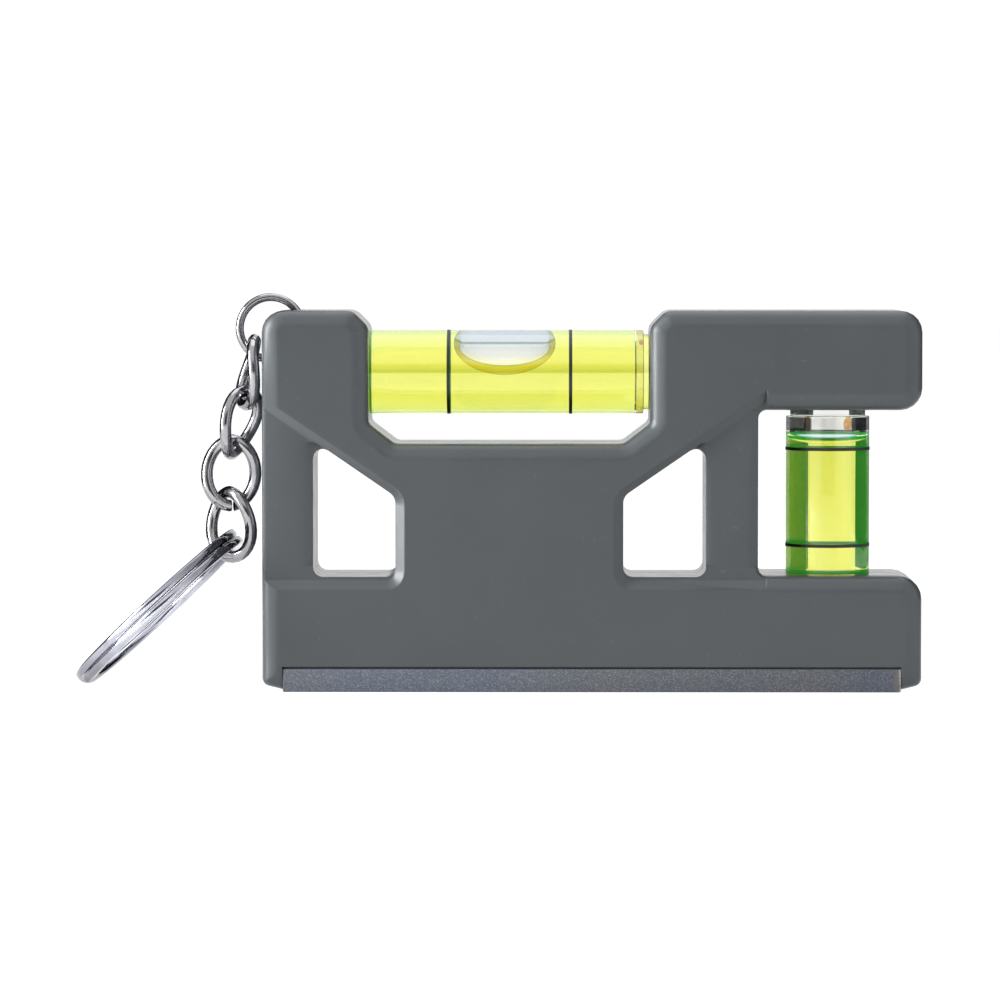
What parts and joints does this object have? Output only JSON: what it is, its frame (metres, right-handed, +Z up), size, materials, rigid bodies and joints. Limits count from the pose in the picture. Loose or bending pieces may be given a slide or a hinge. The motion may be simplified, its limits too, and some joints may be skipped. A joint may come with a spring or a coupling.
{
  "type": "magnetic_spirit_level",
  "caption": "Grey pocket spirit level with level and plumb vials, a magnetic base strip, and a curb chain with a split key ring.",
  "frame": {"origin": "middle of the magnetic strip's lower face", "axes": "+X along the body to the picture's right, +Y to the back, +Z up; the shells part on the plane y = 0"},
  "size_m": [0.0927, 0.0238, 0.0435],
  "materials": {
    "shell": "finely textured grey ABS",
    "magnet": "flexible ferrite magnet sheet, ground, speckled blue-grey",
    "tape": "black adhesive tape",
    "clear": "clear acrylic",
    "plug": "translucent white plastic",
    "sealant": "amber glue",
    "liquid": "fluorescent yellow-green liquid",
    "lines": "black printed lines",
    "bubble": "air bubble",
    "nickel": "nickel plate, slightly worn",
    "ring_steel": "nickel-plated spring steel"
  },
  "bodies": {
    "level": {"front_shell": "shell", "rear_shell": "shell", "magnet_strip": "magnet", "adhesive_tape": "tape", "level_vial_tube": "clear", "level_vial_plug": "plug", "level_vial_sealant": "sealant", "level_vial_liquid": "liquid", "level_vial_lines": "lines", "plumb_vial_tube": "clear", "plumb_vial_plug": "plug", "plumb_vial_sealant": "sealant", "plumb_vial_liquid": "liquid", "plumb_vial_lines": "lines"},
    "level_air": {"level_bubble": "bubble"},
    "plumb_air": {"plumb_bubble": "bubble"},
    "hanger": {"jump_ring": "nickel"},
    "link_1": {"chain_link_1": "nickel"},
    "link_2": {"chain_link_2": "nickel"},
    "link_3": {"chain_link_3": "nickel"},
    "link_4": {"chain_link_4": "nickel"},
    "key_ring": {"split_ring": "ring_steel"}
  },
  "joints": [
    {"name": "level_bubble_slide", "type": "slide", "parent": "level", "child": "level_air", "axis": [1, 0, 0], "range_m": [-0.0108, 0.0085], "stiffness_N_per_m": 5, "deforming": ["level_vial_liquid"]},
    {"name": "plumb_bubble_slide", "type": "slide", "parent": "level", "child": "plumb_air", "axis": [0, 0, -1], "range_m": [0, 0.0157], "stiffness_N_per_m": 5, "springref_m": -0.002, "deforming": ["plumb_vial_liquid"]},
    {"name": "jump_ring_turn", "type": "hinge", "parent": "level", "child": "hanger", "pos_m": [-0.0353, 0, 0.03957], "axis": [0, 1, 0], "range_deg": [0, 60]},
    {"name": "link_1_swing", "type": "hinge", "parent": "hanger", "child": "link_1", "pos_m": [-0.03812, 0, 0.0376], "axis": [0.5736, 0, -0.8192], "range_deg": [-8, 6]},
    {"name": "link_2_swing", "type": "hinge", "parent": "link_1", "child": "link_2", "pos_m": [-0.03811, 0, 0.03116], "axis": [0.4649, -0.8829, -0.0653], "range_deg": [-20, 0]},
    {"name": "link_3_swing", "type": "hinge", "parent": "link_2", "child": "link_3", "pos_m": [-0.03978, 0, 0.02571], "axis": [0.265, 0.9613, -0.076], "range_deg": [0, 20]},
    {"name": "link_4_swing", "type": "hinge", "parent": "link_3", "child": "link_4", "pos_m": [-0.03991, 0, 0.02001], "axis": [0.96, 0.2756, -0.0503], "range_deg": [-6, 10]},
    {"name": "key_ring_swing", "type": "hinge", "parent": "link_4", "child": "key_ring", "pos_m": [-0.03959, 0, 0.01433], "axis": [0.9502, -0.309, 0.0415], "range_deg": [-20, 6]}
  ]
}
